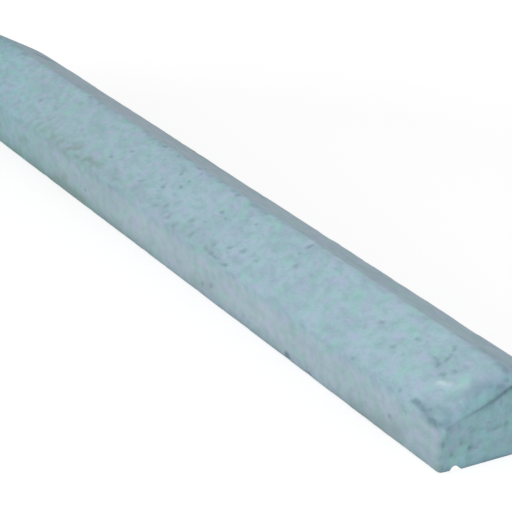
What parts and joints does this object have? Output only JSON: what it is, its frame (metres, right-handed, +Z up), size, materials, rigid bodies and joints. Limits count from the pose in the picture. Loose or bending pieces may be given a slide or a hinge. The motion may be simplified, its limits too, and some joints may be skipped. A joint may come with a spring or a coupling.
{
  "type": "wall coping stone",
  "caption": "Long saddleback wall coping cast in concrete: slopes fall from a rounded ridge to upright edges with drip throats beneath; ends roll over to a lip. Beds on a wall top to shed rain.",
  "frame": {"origin": "middle of the bed, the flat underside that lies on the wall", "axes": "+X along the stone, +Y across the wall, +Z up"},
  "size_m": [1.2, 0.14, 0.0895],
  "materials": {
    "concrete": "cast concrete, pale blue-grey, open pores and weather stains"
  },
  "bodies": {
    "root": {"coping_stone": "concrete"}
  },
  "joints": []
}
